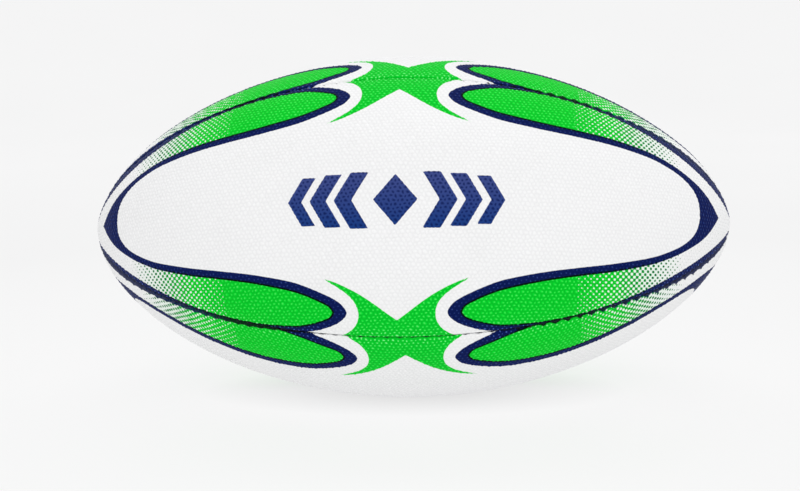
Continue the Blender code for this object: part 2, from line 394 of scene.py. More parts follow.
def panel_mesh(side):
    """Points and faces of a closed panel: pimples, puckered edges and turned-in flanges."""
    build = Builder()
    middle = centre_angle(side)
    last = math.floor(along_at(tip_share()) / ROW_STEP / COARSE_EVERY) * COARSE_EVERY
    numbers = range(-last, last + 1)
    rows = [fine_row(build, n * ROW_STEP, n, middle) for n in numbers]
    inner_rows = [coarse_row(build, n * ROW_STEP, middle) for n in numbers[::COARSE_EVERY]]
    outer = np.concatenate([zip_lines(*a, *b) for a, b in zip(rows, rows[1:])])
    inner = grid_quads(inner_rows)
    fine_keys = np.array(numbers, float)
    coarse_keys = fine_keys[::COARSE_EVERY]
    low = np.array([index[0] for index, _ in rows])
    high = np.array([index[-1] for index, _ in rows])
    upper_foot = np.array([row[0] for row in inner_rows])
    lower_foot = np.array([row[-1] for row in inner_rows])
    faces = [
        zip_lines(high, fine_keys, upper_foot, coarse_keys, flip=True),
        zip_lines(lower_foot, coarse_keys, low, fine_keys, flip=True),
    ]
    for end, at in ((-1, 0), (1, -1)):
        loop = np.concatenate((rows[at][0], inner_rows[at]))
        faces.append(cap(build, loop, end, middle))
    if side == "top":
        faces += open_valve_hole(build, outer, inner, middle)
    else:
        faces += [outer, inner]
    return build, faces


def to_mesh(name, build, faces):
    """A mesh of the points that faces use, and those points' places on the panel."""
    points = np.concatenate(build.points)
    used = np.unique(np.concatenate([part.ravel() for part in faces]))
    renumber = np.zeros(len(points), int)
    renumber[used] = np.arange(len(used))
    mesh = bpy.data.meshes.new(name)
    polygons = [face for part in faces for face in renumber[part].tolist()]
    mesh.from_pydata(points[used].tolist(), [], polygons)
    mesh.shade_smooth()
    return mesh, np.concatenate(build.places)[used]


# ---------------------------------------------------------------- the print, as distances

# Places on the print are (share of the half length, degrees from the panel's centreline) in
# one quarter of a panel; the other three quarters mirror it.
FIELD_EDGE = (
    (0.34, 46.6), (0.30, 45.4), (0.25, 44.0), (0.20, 41.8), (0.16, 39.1), (0.139, 36.0),
    (0.15, 33.2), (0.17, 31.4), (0.20, 29.7), (0.25, 27.5), (0.30, 26.0), (0.40, 24.7),
    (0.50, 24.4), (0.60, 24.6), (0.70, 24.6), (0.75, 23.8), (0.80, 21.6), (0.83, 18.4),
    (0.85, 13.8), (0.861, 7.5), (0.864, 0.0), (0.861, -7.5),
)
LENS_FIELD_SIDE = (
    (0.179, 35.8), (0.185, 34.5), (0.20, 33.2), (0.25, 30.8), (0.30, 29.3), (0.40, 27.9),
    (0.50, 27.6), (0.60, 28.0), (0.70, 28.1), (0.75, 27.5), (0.80, 26.0), (0.85, 22.8),
    (0.88, 19.2), (0.903, 14.0), (0.921, 7.0), (0.935, 0.0),
)
LENS_SEAM_SIDE = (
    (0.179, 35.8), (0.185, 37.1), (0.20, 38.4), (0.25, 40.8), (0.30, 42.3), (0.40, 43.4),
    (0.50, 43.5), (0.60, 42.8), (0.70, 41.0), (0.80, 38.0), (0.85, 35.9), (0.90, 33.0),
    (0.95, 28.4), (0.985, 20.0),
)
LENS_UNDER_SEAM = (
    (0.179, 35.8), (0.185, 37.1), (0.20, 38.4), (0.25, 40.4), (0.30, 42.2), (0.36, 43.7),
    (0.44, 45.4), (0.60, 47.0), (0.80, 48.0), (0.96, 49.0), (0.985, 50.0),
)
HORN_NOTCH = (
    (-0.03, 35.3), (0.0, 38.0), (0.03, 35.3), (0.06, 32.6), (0.09, 30.2), (0.12, 28.2),
    (0.16, 26.1), (0.207, 24.3),
)
HORN_GAP = (
    (0.207, 24.3), (0.165, 27.0), (0.135, 29.4), (0.114, 32.2), (0.106, 35.4), (0.109, 38.4),
    (0.122, 41.2), (0.143, 43.4), (0.172, 45.3), (0.19, 46.5),
)
LENS_MIRROR = (0.914, -5.5)  # a place on the lens's edge past the panel's centreline
FADE_START = 0.49  # shares of the half length between which the green thins out to nothing
FADE_END = 0.81
TINT_RUN = 0.1  # share over which the green cast between the dots comes in
SCREEN_PITCH = 1.72 * MM
TRAP = 0.72 * MM  # how far the green runs under the dark line round it
FAR = 0.4  # metres, well outside any panel

# Every panel was printed and sewn a little off its place
PRINT_SHIFT = {"front": -0.1, "top": 2.9, "back": 0.3, "bottom": 1.7}  # along, millimetres
PRINT_SKEW = {"front": 0.011, "top": 0.0, "back": -0.006, "bottom": 0.0}  # along, per across
# Across, in millimetres: level, and times the share, its square and its cube
PRINT_DROP = {
    "front": (0.25, 0.0, 0.0, 1.3),
    "top": (0.0, 0.0, 5.0, 0.0),
    "back": (0.1, 0.0, 0.0, 0.4),
    "bottom": (0.0, 0.6, -10.8, 3.5),
}

# The print's generic centre: a lozenge, then chevrons either side of it
BADGE_SIDES = ("front", "back")
BADGE_DROP = 1.4 * MM
BADGE_HALF_HEIGHT = 10.0 * MM
LOZENGE_REACH = 7.8 * MM
LOZENGE_SLOPE = 0.86
CHEVRON_LEAN = 0.60
CHEVRON_POINT = 3.2  # millimetres that a chevron's point is further out than its place
CHEVRONS = ((15.5, 5.4, 0.0), (24.5, 5.0, 0.6), (33.0, 4.2, 1.4))  # place, stroke, shortening
NO_BADGE = 9 * MM  # any distance well outside the ink

# Painted shade in the groove of a seam, in millimetres from its middle: wider where the stitches
# are slack, wider still towards the ends, and biting into one of its two panels at each stitch
GROOVE_SHADE_LEVEL = -0.2
GROOVE_SHADE_SLACK = 0.82
GROOVE_SHADE_SWELL = 0.9
GROOVE_SHADE_SWELL_START = 0.66
GROOVE_SHADE_SWELL_RUN = 0.24
GROOVE_SHADE_LEAN = {"front": 0.35, "top": 0.0, "back": 0.35, "bottom": 1.0}  # wider left than right
BITTEN_SIDES = ("top", "bottom")
GROOVE_SHADE_BITE = 1.1
GROOVE_SHADE_BITE_LEAN = 0.6
GROOVE_SHADE_BITE_RUN = 0.15  # share before the tips over which the bites die away
GROOVE_SHADE_FULL_RADIUS = 12 * MM  # where the ball is thinner than this, the groove is narrower too
STRAIN_REACH = 3.2 * MM


def on_sheet(places):
    """Places on the print as (along, across) in metres."""
    share, degrees = np.array(places).T
    along = along_at(share)
    return np.stack((along, radius_at(along) * np.radians(degrees)), axis=-1)


def smooth_line(points, steps=6):
    """A Catmull-Rom curve through the points."""
    points = np.asarray(points, float)
    padded = np.concatenate((points[:1], points, points[-1:]))
    t = np.arange(steps)[:, None] / steps
    made = []
    for p0, p1, p2, p3 in zip(padded, padded[1:], padded[2:], padded[3:]):
        bend = 2 * p0 - 5 * p1 + 4 * p2 - p3
        twist = 3 * (p1 - p2) + p3 - p0
        made.append(p1 + 0.5 * t * (p2 - p0 + t * (bend + t * twist)))
    return np.concatenate(made + [points[-1:]])


def distance(points, outline):
    """Signed distance from each point to a closed outline, negative inside."""
    near = np.full(len(points), np.inf)
    inside = np.zeros(len(points), bool)
    for (ax, ay), (bx, by) in zip(outline, np.roll(outline, -1, axis=0)):
        dx, dy = bx - ax, by - ay
        px, py = points[:, 0] - ax, points[:, 1] - ay
        length_squared = dx * dx + dy * dy + 1e-18  # never zero
        t = np.clip((px * dx + py * dy) / length_squared, 0, 1)
        near = np.minimum(near, (px - t * dx) ** 2 + (py - t * dy) ** 2)
        if ay != by:
            crosses = ((py < 0) != (py < dy)) & (px < py * dx / dy)
            inside ^= crosses
    near = np.sqrt(near)
    return np.where(inside, -near, near)


class DistanceSheet:
    """A shape's distance over one quarter of a panel, read off between grid points."""

    STEP = 0.4 * MM
    MARGIN = 8  # grid points beyond the panel
    LAST = 1.001  # reads stay this many grid points or more from the grid's end

    def __init__(self, outline):
        self.width = math.ceil(ALONG[-1] / self.STEP) + self.MARGIN
        self.height = math.ceil(MIDDLE_RADIUS * PANEL_SPAN / 2 / self.STEP) + self.MARGIN
        grid = np.meshgrid(np.arange(self.width), np.arange(self.height), indexing="ij")
        points = np.stack(grid, axis=-1).reshape(-1, 2) * self.STEP
        self.values = distance(points, outline).reshape(self.width, self.height)

    def read(self, along, across):
        x = np.clip(np.abs(along) / self.STEP, 0, self.width - self.LAST)
        y = np.clip(np.abs(across) / self.STEP, 0, self.height - self.LAST)
        i, j = x.astype(int), y.astype(int)
        fx, fy = x - i, y - j
        v = self.values
        low = v[i, j] * (1 - fx) + v[i + 1, j] * fx
        high = v[i, j + 1] * (1 - fx) + v[i + 1, j + 1] * fx
        return low * (1 - fy) + high * fy


def cell_outline():
    """Everything beyond the edge of the white field: the dark line and all that it encloses."""
    edge = smooth_line(on_sheet(FIELD_EDGE))
    outside = [(edge[-1][0], -FAR), (FAR, -FAR), (FAR, FAR), (edge[0][0], FAR)]
    return np.concatenate((edge, outside))


def lens_outline(seam_side):
    """What the dark line encloses: the green lens and the white that it fades into."""
    seam = smooth_line(on_sheet(seam_side))
    field = smooth_line(on_sheet(LENS_FIELD_SIDE))
    mirror = on_sheet([LENS_MIRROR])
    tip = np.array([(ALONG[-1] + 1 * MM, seam[-1][1]), (FAR, seam[-1][1])])
    outside = np.array([(FAR, -FAR), (mirror[0][0], -FAR)])
    return np.concatenate((seam, tip, outside, mirror, field[::-1][:-1]))


def horn_outline():
    """The green horns that meet across the seam in the middle of the ball."""
    notch = on_sheet(HORN_NOTCH)
    left = smooth_line(notch[1:])
    gap = smooth_line(on_sheet(HORN_GAP))
    outside = [(gap[-1][0], FAR), (-FAR, FAR), (-FAR, notch[0][1])]
    return np.concatenate((notch[:1], left[:-1], gap, outside))


def badge_distance(along, across):
    """Distance to a plain lozenge between three pairs of chevrons, negative inside."""
    x, y = np.abs(along), np.abs(across)
    best = (x + y * LOZENGE_SLOPE - LOZENGE_REACH) / math.hypot(1.0, LOZENGE_SLOPE)
    for place, stroke, shorten in CHEVRONS:
        point = (place + CHEVRON_POINT) * MM
        from_stroke = (x + CHEVRON_LEAN * y - point) / math.hypot(1, CHEVRON_LEAN)
        band = np.abs(from_stroke) - stroke * MM / 2
        best = np.minimum(best, np.maximum(band, y - BADGE_HALF_HEIGHT + shorten * MM))
    return np.maximum(best, y - BADGE_HALF_HEIGHT)


def print_sheets():
    """The cell, the horn, and the lens as it shows on most panels and on the bottom one."""
    cell = DistanceSheet(cell_outline())
    horn = DistanceSheet(horn_outline())
    shown = DistanceSheet(lens_outline(LENS_SEAM_SIDE))
    hidden = DistanceSheet(lens_outline(LENS_UNDER_SEAM))
    return cell, horn, shown, hidden


def store(mesh, name, values):
    """Store a number on each point of a mesh, for its material to read."""
    attribute = mesh.attributes.new(name, "FLOAT", "POINT")
    attribute.data.foreach_set("value", values.astype(np.float32))


def groove_shade_reach(along, side):
    """How far from the seam the painted shade of the groove reaches on a panel."""
    slack = (slackness(along) - TIGHT) / (1 - TIGHT)
    share = share_at(along)
    swell = np.clip((np.abs(share) - GROOVE_SHADE_SWELL_START) / GROOVE_SHADE_SWELL_RUN, 0, 1)
    lean = GROOVE_SHADE_LEAN[side] * np.clip(-share, -0.5, 0.5)
    level = GROOVE_SHADE_LEVEL + (GROOVE_SHADE_SLACK + lean) * slack + GROOVE_SHADE_SWELL * swell
    bite = (GROOVE_SHADE_BITE + GROOVE_SHADE_BITE_LEAN * share) * slack if side in BITTEN_SIDES else 0.0
    bite = bite * np.clip((1.0 - np.abs(share)) / GROOVE_SHADE_BITE_RUN, 0, 1)
    narrow = np.minimum(1, radius_at(along) / GROOVE_SHADE_FULL_RADIUS)
    return (level + bite * (1 - stitch_bulge(along))) * MM * narrow


def store_print(mesh, places, side, sheets):
    """The numbers that the panel's material reads: distances are in millimetres."""
    cell, horn, shown, hidden = sheets
    lens = hidden if side == "bottom" else shown
    along, across = places.T
    share = share_at(along)
    level, tilt, bow, droop = PRINT_DROP[side]
    drop = level + tilt * share + bow * share**2 + droop * np.abs(share) ** 3
    shifted = along - PRINT_SHIFT[side] * MM - PRINT_SKEW[side] * across
    across_shifted = across + drop * MM
    shifted_share = np.abs(share_at(shifted))
    lens_distance = lens.read(shifted, across_shifted)
    faded = np.clip((FADE_END - shifted_share) / TINT_RUN, 0, 1)
    badge = badge_distance(shifted, across_shifted + BADGE_DROP)
    if side not in BADGE_SIDES:
        badge = np.full(len(badge), NO_BADGE)
    to_edge = radius_at(along) * PANEL_SPAN / 2 - np.abs(across)
    store(mesh, "along_mm", along / MM)
    store(mesh, "across_mm", across / MM)
    store(mesh, "groove_shade_mm", (to_edge - groove_shade_reach(along, side)) / MM)
    store(mesh, "strain", np.exp(-((to_edge / STRAIN_REACH) ** 2)))
    store(mesh, "share", shifted_share)
    store(mesh, "cell_mm", cell.read(shifted, across_shifted) / MM)
    store(mesh, "lens_mm", lens_distance / MM)
    store(mesh, "fade_tint", faded * (lens_distance < 0))
    store(mesh, "horn_mm", horn.read(shifted, across_shifted) / MM)
    store(mesh, "badge_mm", badge / MM)


# ---------------------------------------------------------------- shader building


class Wire:
    """A value in a shader; arithmetic on it adds Math nodes."""

    def __init__(self, tree, socket):
        self.tree = tree
        self.socket = socket

    def math(self, operation, *others, clamp=False):
        node = self.tree.nodes.new("ShaderNodeMath")
        node.operation = operation
        node.use_clamp = clamp
        self.tree.links.new(self.socket, node.inputs[0])
        for place, other in enumerate(others, start=1):
            connect(self.tree, other, node.inputs[place])
        return Wire(self.tree, node.outputs[0])

    def __add__(self, other):
        return self.math("ADD", other)

    def __sub__(self, other):
        return self.math("SUBTRACT", other)

    def __mul__(self, other):
        return self.math("MULTIPLY", other)

    def __truediv__(self, other):
        return self.math("DIVIDE", other)

    def sine(self):
        return self.math("SINE")

    def flipped(self):
        """One less the value."""
        return self.math("MULTIPLY_ADD", -1.0, 1.0)

    def ramp(self, start, end):
        """Zero at start, one at end, straight between and level outside."""
        scale = 1 / (end - start)
        return self.math("MULTIPLY_ADD", scale, -start * scale, clamp=True)


def connect(tree, value, socket):
    """Link a wire to a socket, or set the socket to a plain value."""
    if isinstance(value, Wire):
        tree.links.new(value.socket, socket)
    else:
        socket.default_value = value


class Shader:
    """A Principled material under construction."""

    def __init__(self, name):
        self.material = bpy.data.materials.new(name)
        self.material.use_nodes = True
        self.tree = self.material.node_tree
        self.principled = self.tree.nodes["Principled BSDF"]

    def attribute(self, name):
        node = self.tree.nodes.new("ShaderNodeAttribute")
        node.attribute_name = name
        return Wire(self.tree, node.outputs["Fac"])

    def place(self):
        """Where on the ball a point is, in metres."""
        node = self.tree.nodes.new("ShaderNodeTexCoord")
        return Wire(self.tree, node.outputs["Object"])

    def split(self, vector):
        node = self.tree.nodes.new("ShaderNodeSeparateXYZ")
        connect(self.tree, vector, node.inputs[0])
        return [Wire(self.tree, socket) for socket in node.outputs]

    def noise(self, scale, detail=2.0, roughness=0.5):
        """Smooth noise around one half; the scale is about how many lumps a metre holds."""
        node = self.tree.nodes.new("ShaderNodeTexNoise")
        node.inputs["Scale"].default_value = scale
        node.inputs["Detail"].default_value = detail
        node.inputs["Roughness"].default_value = roughness
        connect(self.tree, self.place(), node.inputs["Vector"])
        return Wire(self.tree, node.outputs["Fac"])

    def mix(self, factor, a, b, blend="MIX"):
        """A blend of two colours, each of them a wire or three numbers."""
        node = self.tree.nodes.new("ShaderNodeMix")
        node.data_type = "RGBA"
        node.blend_type = blend
        connect(self.tree, factor, node.inputs["Factor"])
        first, second = [socket for socket in node.inputs if socket.type == "RGBA"]
        for colour, socket in ((a, first), (b, second)):
            colour = colour if isinstance(colour, Wire) else (*colour, 1.0)
            connect(self.tree, colour, socket)
        return Wire(self.tree, next(out for out in node.outputs if out.type == "RGBA"))

    def bump(self, height, distance, strength=1.0):
        """Shade the surface as if it rose by the height times the distance, in metres."""
        node = self.tree.nodes.new("ShaderNodeBump")
        node.inputs["Strength"].default_value = strength
        node.inputs["Distance"].default_value = distance
        connect(self.tree, height, node.inputs["Height"])
        connect(self.tree, Wire(self.tree, node.outputs[0]), self.principled.inputs["Normal"])

    def finish(self, colour, roughness, **fixed):
        """Set the colour, the roughness and sockets that are the same all over."""
        connect(self.tree, colour, self.principled.inputs["Base Color"])
        connect(self.tree, roughness, self.principled.inputs["Roughness"])
        for name, value in fixed.items():
            self.principled.inputs[name.replace("_", " ")].default_value = value
        return self.material


# ---------------------------------------------------------------- materials

WHITE = (0.90, 0.90, 0.905)
WHITE_MOTTLE = 0.97  # the darker patches, as a share of the white
# Grey of the painted shade in the hollows between the pimples
PIT_SHADE_GREY = (0.45, 0.45, 0.46)
DUST = (0.55, 0.54, 0.52)
GREEN_INK = (0.0, 0.78, 0.036)
# Green of the painted shade between the pimples
GREEN_PIT_SHADE = (0.0, 0.60, 0.025)
GREEN_DOT = (0.0, 0.20, 0.05)  # ink of the halftone's dots
# Pale green of wear and of the painted highlight on the pimples' tops
GREEN_WORN_AND_HIGHLIGHT = (0.26, 1.0, 0.33)
GREEN_CAST = (0.30, 0.90, 0.36)
NAVY_INK = (0.0018, 0.0090, 0.092)
# Pale navy of wear and of the painted highlight on the pimples' tops
NAVY_WORN_AND_HIGHLIGHT = (0.11, 0.22, 0.75)
# The centre print's blue, then its painted sheen and its painted shade
BADGE_BLUE = (0.008, 0.040, 0.200)
BADGE_SHEEN = (0.046, 0.066, 0.235)
BADGE_SHADE = (0.003, 0.011, 0.085)
# Painted shade in the seam's groove and the painted glints in it, first in the ball's middle, then
# near its ends
GROOVE_SHADE_TONES = ((0.002, 0.003, 0.008), (0.002, 0.009, 0.064))
GLINT_TONES = ((0.13, 0.09, 0.11), (0.04, 0.07, 0.22))
THREAD_TONES = ((0.004, 0.005, 0.012), (0.018, 0.018, 0.036))
THREAD_FUZZ = (0.20, 0.16, 0.18)

# Cloths: the light and the dark of the weave, and its pitch in millimetres
LINING_CLOTH = ((0.70, 0.66, 0.55), (0.42, 0.38, 0.30), 0.8)
PATCH_CLOTH = ((0.56, 0.53, 0.46), (0.34, 0.31, 0.26), 1.1)
# Rubbers by CAD piece: the material's name, its colour, its bloom and its roughness
RUBBERS = {
    "bladder": ("bladder_rubber", (0.03, 0.03, 0.033), (0.09, 0.09, 0.09), 0.5),
    "valve_body": ("valve_rubber", (0.018, 0.018, 0.02), (0.06, 0.06, 0.06), 0.45),
    "valve_core": ("core_rubber", (0.07, 0.07, 0.075), (0.14, 0.14, 0.14), 0.5),
}

# Millimetres
INK_EDGE = 0.07  # half the width over which ink ends
INK_WOBBLE = 0.08
INK_CREEP = 0.10  # how much further ink reaches on top of a pimple
# Edge and raggedness of the painted shade in the seam's groove
GROOVE_SHADE_EDGE = 0.14
GROOVE_SHADE_WOBBLE = 0.9
BADGE_SPAN = (-11.0, 8.0)  # from its lower edge to where its sheen is full
BADGE_SHADE_DROP = 0.4  # how far below a pimple its shade lies

DOT_EDGE = 0.06
DOT_GAIN = 0.75
DOT_MOST = 0.96  # coverage just before the green closes up
DOT_CLOSING = 0.3
LATTICE_CELLS = 1000  # whole cells added, which keep the fractions' inputs positive
STRANDS = 3.0
STRAND_TWIST = 5.2  # radians per millimetre
WEFT_SKEW = 0.7

# The floor glows evenly, with a painted pool of light round the ball and a painted shadow right
# under it
FLOOR_TONES = ((0.14, 0.14, 0.141), (0.16, 0.16, 0.161))
FLOOR_GLOW = 0.73
HALO_GLOW = 0.06
HALO_REACH = (0.45, 0.06)  # metres from the ball's middle: where the halo starts and is full
SHADE_GLOW = -0.20
SHADE_REACH = 0.036  # metres, across the ball; it reaches further lengthwise
SHADE_SLIMNESS = 0.16  # square of the shade's breadth over its length


def lattice_height(along, across):
    """The pimples again, worked out at every point so that each top is round."""
    pitch = PIMPLE_PITCH / MM
    row_gap = pitch * math.sqrt(3) / 2
    drift = wander(along, across, 0.0, Wire.sine)
    sway = wander(along, across, 2.0, Wire.sine)
    along = along + drift
    across = across + sway
    squares = []
    for odd in (0, 1):
        offset = 0.5 - odd / 2 + LATTICE_CELLS
        du = ((along / pitch + offset).math("FRACT") - 0.5) * pitch
        dv = ((across / (2 * row_gap) + offset).math("FRACT") - 0.5) * (2 * row_gap)
        squares.append(du * du + dv * dv)
    nearest = squares[0].math("MINIMUM", squares[1])
    return nearest.math("SQRT").ramp(PIMPLE_REACH * pitch, 0.0)


def halftone(along, across, cover):
    """Round dots on a diagonal screen: holes where the cover is high, dots where it is low."""
    turn = 2 * math.pi / (SCREEN_PITCH / MM) / math.sqrt(2)
    first = ((along + across) * turn).math("COSINE")
    second = ((along - across) * turn).math("COSINE")
    screen = (first + second) * 0.25 + 0.5
    return (cover - screen).ramp(-DOT_EDGE, DOT_EDGE)


def ink_masks(shader, along, across, dome):
    """Where the green, the navy and the centre print's ink lie, from 0 to 1."""
    wobble = shader.noise(900, 1.0) * (2 * INK_WOBBLE) - INK_WOBBLE
    creep = wobble - dome * INK_CREEP
    cell = shader.attribute("cell_mm") + creep
    lens = shader.attribute("lens_mm") + creep
    horn = (shader.attribute("horn_mm") + creep).ramp(INK_EDGE, -INK_EDGE)
    badge = (shader.attribute("badge_mm") + creep).ramp(INK_EDGE, -INK_EDGE)
    navy = cell.ramp(INK_EDGE, -INK_EDGE) * lens.ramp(-INK_EDGE, INK_EDGE)
    fade = shader.attribute("share").ramp(FADE_END, FADE_START)
    cover = fade.math("POWER", DOT_GAIN) * DOT_MOST + fade.ramp(0.985, 1.0) * DOT_CLOSING
    trap = TRAP / MM
    within = lens.ramp(trap + INK_EDGE, trap - INK_EDGE)
    green = (within * halftone(along, across, cover)).math("MAXIMUM", horn)
    return green, navy, badge


def white_rubber(shader, dome, mottle):
    """The bare panel: painted shade between the pimples, with a little dust there."""
    dull = tuple(WHITE_MOTTLE * channel for channel in WHITE)
    tone = shader.mix(mottle, dull, WHITE)
    # Painted shade: the white darkens towards the hollows between the pimples
    tone = shader.mix(dome.ramp(0.55, 0.0) * 0.14, tone, PIT_SHADE_GREY)
    dust = (shader.noise(38, 4.0).ramp(0.62, 0.80) * dome.flipped()) * 0.10
    tone = shader.mix(dust, tone, DUST)
    return shader.mix(shader.attribute("fade_tint") * 0.16, tone, GREEN_CAST)


def ink_wear_and_highlight(shader, dome, grain):
    """How much paler the ink is: on the pimples' tops, partly wear and partly a painted highlight,
    and most beside the seams.
    """
    patchy = shader.noise(420, 2.0).ramp(0.35, 0.65)
    top = dome.ramp(0.52, 0.86) * (patchy * 0.65 + 0.35)
    return top * (shader.attribute("strain") * 1.2 + 0.42) + grain.ramp(0.5, 0.8) * 0.03


def green_tone(shader, dome, wear_and_highlight):
    dots = shader.attribute("share").ramp(0.60, 0.72)
    # Painted shade: the green darkens between the pimples
    solid = shader.mix(dome.ramp(0.0, 0.5), GREEN_PIT_SHADE, GREEN_INK)
    tone = shader.mix(dots, solid, GREEN_DOT)
    # Pimple tops paler: wear and a painted highlight
    return shader.mix(wear_and_highlight * dots.flipped(), tone, GREEN_WORN_AND_HIGHLIGHT)


def badge_tone(shader, along, across):
    """The centre print's brighter blue, with a painted sheen that pales it towards its top and
    painted shade under each pimple.
    """
    # Painted sheen towards the top and painted shade just below each pimple
    lit = shader.mix(across.ramp(*BADGE_SPAN), BADGE_BLUE, BADGE_SHEEN)
    shade = lattice_height(along, across + BADGE_SHADE_DROP).ramp(0.15, 0.75)
    return shader.mix(shade * 0.85, lit, BADGE_SHADE)


def seam_groove_shade(shader, colour):
    """Painted shade of the seam's groove over a panel's colour, with painted glints, dark navy
    towards the ends.
    """
    groove_noise = shader.noise(1500, 2.0)
    ragged_distance = shader.attribute("groove_shade_mm") + (groove_noise - 0.5) * GROOVE_SHADE_WOBBLE
    # Painted shade where the seam's groove lies
    groove_shade_mask = ragged_distance.ramp(GROOVE_SHADE_EDGE, -GROOVE_SHADE_EDGE) * 0.96
    end = shader.attribute("share").ramp(0.50, 0.62)
    dark = shader.mix(end, *GROOVE_SHADE_TONES)
    # Painted glints scattered through the groove's painted shade
    glint = shader.mix(end, *GLINT_TONES)
    groove_shade_tone = shader.mix(groove_noise.ramp(0.62, 0.74) * 0.4, dark, glint)
    return shader.mix(groove_shade_mask, colour, groove_shade_tone)


def panel_material():
    shader = Shader("printed_rubber")
    along = shader.attribute("along_mm")
    across = shader.attribute("across_mm")
    dome = lattice_height(along, across)
    mottle = shader.noise(60, 3.0)
    grain = shader.noise(4200, 2.0)
    green, navy, badge = ink_masks(shader, along, across, dome)
    wear_and_highlight = ink_wear_and_highlight(shader, dome, grain)
    greens = green_tone(shader, dome, wear_and_highlight)
    # Pimple tops paler: wear and a painted highlight
    navies = shader.mix(wear_and_highlight * 0.6, NAVY_INK, NAVY_WORN_AND_HIGHLIGHT)
    colour = white_rubber(shader, dome, mottle)
    colour = shader.mix(green, colour, shader.mix(1.0, colour, greens, "MULTIPLY"))
    colour = shader.mix(navy, colour, shader.mix(1.0, colour, navies, "MULTIPLY"))
    colour = shader.mix(badge, colour, badge_tone(shader, along, across))
    colour = seam_groove_shade(shader, colour)
    ink = green.math("MAXIMUM", navy).math("MAXIMUM", badge)
    roughness = ink * -0.05 + 0.48 + (mottle - 0.5) * 0.10 - dome * 0.12
    shader.bump(dome + grain * 0.06, 0.10 * MM, 0.8)
    return shader.finish(colour, roughness, Specular_IOR_Level=0.03)


def thread_material():
    """Waxed polyester: strands that wind round the thread."""
    shader = Shader("seam_thread")
    winding = shader.attribute("along_mm") * STRAND_TWIST + shader.attribute("turn") * STRANDS
    strands = (winding.math("SINE") + 1.0) * 0.5
    fuzz = shader.noise(5200, 3.0)
    colour = shader.mix(strands, *THREAD_TONES)
    colour = shader.mix(fuzz.ramp(0.62, 0.8) * 0.3, colour, THREAD_FUZZ)
    shader.bump(strands + fuzz * 0.4, 0.08 * MM)
    return shader.finish(colour, strands * -0.15 + 0.6, Specular_IOR_Level=0.15)


def weave(shader, pitch_mm):
    """Plain weave from the place on the ball: over-and-under threads, from 0 to 1."""
    x, y, z = shader.split(shader.place())
    scale = 2 * math.pi / (pitch_mm * MM)
    warp = (x * scale).math("SINE")
    weft = ((y + z * WEFT_SKEW) * scale).math("SINE")
    return (warp * weft) * 0.5 + 0.5


def cloth_material(name, light, dark, pitch_mm):
    """Woven cloth with uneven threads."""
    shader = Shader(name)
    over = weave(shader, pitch_mm)
    slub = shader.noise(700, 4.0, 0.6)
    colour = shader.mix(over * 0.7 + slub * 0.3, dark, light)
    shader.bump(over + slub * 0.5, 0.15 * MM)
    return shader.finish(colour, slub * 0.15 + 0.78, Sheen_Weight=0.25, Sheen_Roughness=0.5)


def rubber_material(name, colour, bloom, roughness):
    """Moulded rubber with a fine skin texture and a faint grey bloom."""
    shader = Shader(name)
    skin = shader.noise(2600, 3.0)
    cloud = shader.noise(120, 4.0)
    tone = shader.mix(cloud.ramp(0.45, 0.75) * 0.5, colour, bloom)
    shader.bump(skin, 0.05 * MM, 0.6)
    return shader.finish(tone, (skin - 0.5) * 0.2 + roughness, Specular_IOR_Level=0.4)


def floor_material():
    """White paper that glows evenly, with a painted pool of light round the ball and a painted
    shadow right under it.
    """
    shader = Shader("studio_floor")
    tone = shader.noise(3.0, 2.0)
    colour = shader.mix(tone, *FLOOR_TONES)
    x, y, _ = shader.split(shader.place())
    # Painted pool of light round the ball
    halo = (x * x + y * y).math("SQRT").ramp(*HALO_REACH)
    # Painted shadow right under the ball
    under = (x * x * SHADE_SLIMNESS + y * y).math("SQRT").ramp(SHADE_REACH, 0.0)
    glow = halo * HALO_GLOW + under * SHADE_GLOW + FLOOR_GLOW
    connect(shader.tree, glow, shader.principled.inputs["Emission Strength"])
    white = (1.0, 1.0, 1.0, 1.0)
    return shader.finish(colour, tone * 0.05 + 0.9, Specular_IOR_Level=0.05, Emission_Color=white)


# ---------------------------------------------------------------- pieces


def add_object(name, mesh, material):
    made = bpy.data.objects.new(name, mesh)
    bpy.context.scene.collection.objects.link(made)
    mesh.materials.append(material)
    return made


def build_panels():
    material = panel_material()
    sheets = print_sheets()
    for side in SIDES:
        build, faces = panel_mesh(side)
        mesh, places = to_mesh("cover_" + side, build, faces)
        store_print(mesh, places, side, sheets)
        panel = add_object("cover_" + side, mesh, material)
        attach(panel, "root")
        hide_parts("panel_" + side)


def closed_loops(rows, columns):
    """Numbers of a tube's points, ring by ring, as they are and with each ring closed."""
    loops = np.arange(rows * columns).reshape(rows, columns)
    return loops, np.concatenate((loops, loops[:, :1]), axis=1)


def thread_line(along, scale, angle):
    """The middle of a thread that rises at each stitch and dips between."""
    depth = scale * (THREAD_DEPTH - THREAD_RISE * (1 - stitch_bulge(along)))
    sway = seam_shift(along, 0.0, scale)
    return shell(along, depth + VALLEY * scale, angle + sway / radius_at(along))


def tube_points(line, radii, angle, turns):
    """Rings round a line that runs lengthwise along the ball at an angle round it."""
    forward = np.gradient(line, axis=0)
    forward /= np.linalg.norm(forward, axis=1)[:, None]
    out = np.array([0, -math.cos(angle), math.sin(angle)]) * np.ones((len(line), 1))
    aside = np.cross(forward, out)
    aside /= np.linalg.norm(aside, axis=1)[:, None]
    out = np.cross(aside, forward)
    ring = np.cos(turns)[:, None] * aside[:, None] + np.sin(turns)[:, None] * out[:, None]
    return (line[:, None] + radii[:, None, None] * ring).reshape(-1, 3)


